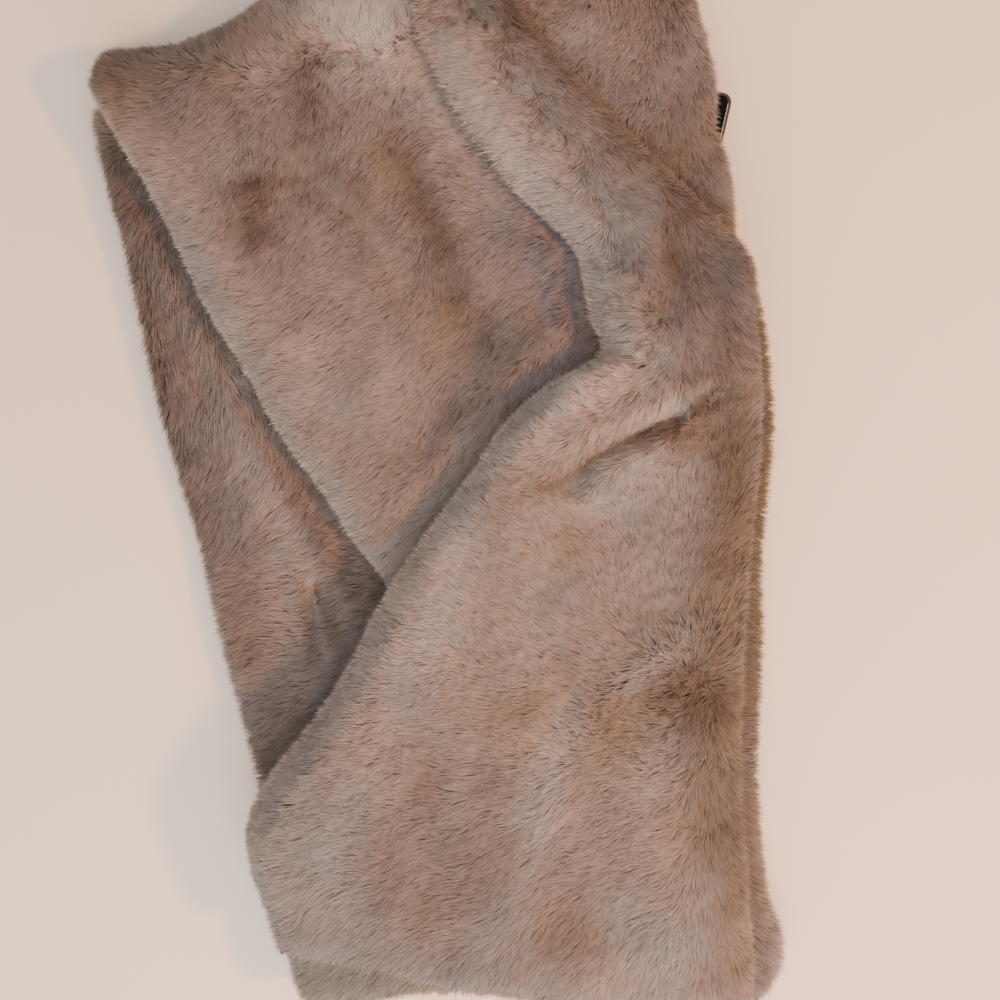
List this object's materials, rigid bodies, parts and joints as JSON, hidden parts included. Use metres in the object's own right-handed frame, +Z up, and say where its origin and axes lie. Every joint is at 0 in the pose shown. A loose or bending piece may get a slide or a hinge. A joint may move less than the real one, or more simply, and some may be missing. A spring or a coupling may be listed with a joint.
{
  "type": "fur collar wrap",
  "caption": "Long tube of short plush faux fur worn as a collar wrap, folded in half and lying flat with a deep slanting pleat and a small enamelled clasp.",
  "frame": {"origin": "middle of the footprint, on the surface that the wrap lies on", "axes": "+X to the clasp side, +Y along the wrap towards its fold, +Z up"},
  "size_m": [0.3518, 0.5434, 0.0761],
  "materials": {
    "plush_under_half": "short plush faux fur, taupe with brown shade, nap lying",
    "plush_panels": "short plush faux fur, taupe with pink and brown patches",
    "plush_crossing_flap": "short plush faux fur, pale greige with brown patches",
    "black_enamel": "glossy black enamel",
    "bronze_rim": "polished dark bronze plate"
  },
  "bodies": {
    "root": {"under_half": "plush_under_half", "upper_left_panel": "plush_panels", "upper_right_panel": "plush_panels", "crossing_flap": "plush_crossing_flap", "clasp_plate": "black_enamel", "clasp_rim": "bronze_rim"}
  },
  "joints": []
}
